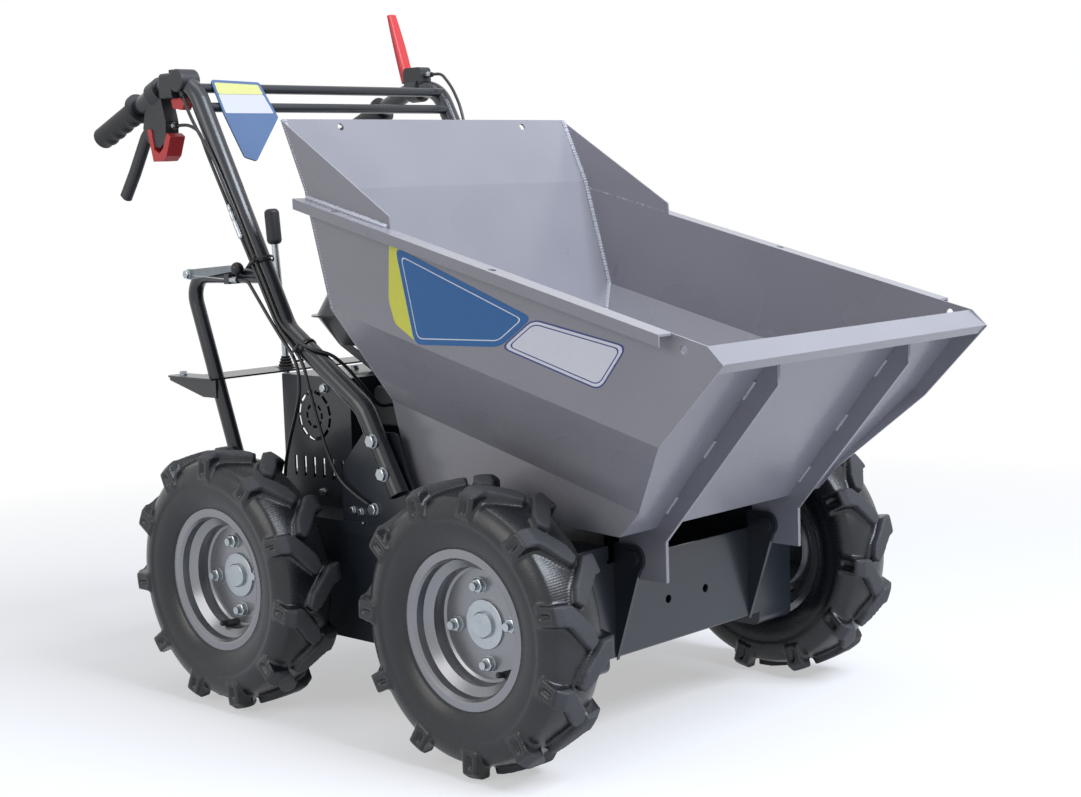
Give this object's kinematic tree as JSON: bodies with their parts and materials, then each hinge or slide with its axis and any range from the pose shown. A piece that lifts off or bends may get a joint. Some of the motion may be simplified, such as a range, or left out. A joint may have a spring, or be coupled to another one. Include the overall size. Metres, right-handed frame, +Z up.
{
  "type": "walk-behind site dumper",
  "caption": "Walk-behind site dumper with equal lugged wheels, a forward-tipping steel skip, a small petrol engine and a rear handlebar with levers.",
  "frame": {"origin": "on the ground under the middle of the machine's overall box, midway between the axles", "axes": "+X forward towards the skip's lip, +Y to the machine's left, +Z up"},
  "size_m": [1.4, 0.802, 1.1493],
  "materials": {
    "aluminium": "cast aluminium",
    "black_plastic": "black plastic",
    "cable_sheath": "black cable sheath",
    "frame_paint": "anthracite powder coat",
    "grip_rubber": "soft black rubber",
    "heat_steel": "aluminised steel",
    "red_plastic": "red plastic",
    "skip_paint": "warm grey powder coat",
    "tank_paint": "black enamel",
    "tyre": "matt black rubber",
    "wheel_paint": "silver-grey paint",
    "zinc": "zinc plate"
  },
  "bodies": {
    "chassis": {"air_filter": "black_plastic", "bar_bracket_left": "frame_paint", "bar_bracket_right": "frame_paint", "cable_clutch": "cable_sheath", "cable_latch": "cable_sheath", "cable_throttle": "cable_sheath", "cable_tip": "cable_sheath", "chain_case_left": "frame_paint", "chain_case_right": "frame_paint", "chassis_pan": "frame_paint", "clutch_lever": "black_plastic", "clutch_lock": "red_plastic", "clutch_perch": "black_plastic", "control_panel": "frame_paint", "crossbar_lower": "frame_paint", "crossbar_upper": "frame_paint", "cylinder_head": "aluminium", "engine_block": "aluminium", "engine_cover": "frame_paint", "engine_mount": "frame_paint", "fan_housing": "black_plastic", "fuel_tank": "tank_paint", "gear_knob": "grip_rubber", "gear_lever": "zinc", "gearbox": "aluminium", "grip_left": "grip_rubber", "grip_right": "grip_rubber", "guard_tube_left": "frame_paint", "guard_tube_right": "frame_paint", "handlebar_tube_left": "frame_paint", "handlebar_tube_right": "frame_paint", "latch_lever": "zinc", "muffler": "heat_steel", "pivot_bracket_left": "frame_paint", "pivot_bracket_right": "frame_paint", "rear_shelf": "frame_paint", "rest_beam": "frame_paint", "throttle_housing": "black_plastic", "throttle_thumb": "red_plastic", "tip_lever": "red_plastic", "tip_lever_mount": "black_plastic"},
    "skip": {"skip_back_panel": "skip_paint", "skip_floor": "skip_paint", "skip_front_panel": "skip_paint", "skip_rib_left": "skip_paint", "skip_rib_right": "skip_paint", "skip_side_left": "skip_paint", "skip_side_right": "skip_paint"},
    "wheel_front_left": {"hub_front_left": "zinc", "rim_front_left": "wheel_paint", "tyre_front_left": "tyre"},
    "wheel_front_right": {"hub_front_right": "zinc", "rim_front_right": "wheel_paint", "tyre_front_right": "tyre"},
    "wheel_rear_left": {"hub_rear_left": "zinc", "rim_rear_left": "wheel_paint", "tyre_rear_left": "tyre"},
    "wheel_rear_right": {"hub_rear_right": "zinc", "rim_rear_right": "wheel_paint", "tyre_rear_right": "tyre"}
  },
  "joints": [
    {"name": "wheel_front_left_spin", "type": "hinge", "parent": "chassis", "child": "wheel_front_left", "pos_m": [0.283, 0.345, 0.209], "axis": [0, 1, 0], "continuous": true},
    {"name": "wheel_front_right_spin", "type": "hinge", "parent": "chassis", "child": "wheel_front_right", "pos_m": [0.283, -0.345, 0.209], "axis": [0, 1, 0], "continuous": true},
    {"name": "wheel_rear_left_spin", "type": "hinge", "parent": "chassis", "child": "wheel_rear_left", "pos_m": [-0.283, 0.345, 0.209], "axis": [0, 1, 0], "continuous": true},
    {"name": "wheel_rear_right_spin", "type": "hinge", "parent": "chassis", "child": "wheel_rear_right", "pos_m": [-0.283, -0.345, 0.209], "axis": [0, 1, 0], "continuous": true},
    {"name": "skip_tip", "type": "hinge", "parent": "chassis", "child": "skip", "pos_m": [0.408, 0, 0.287], "axis": [0, 1, 0], "range_deg": [0, 80]}
  ]
}
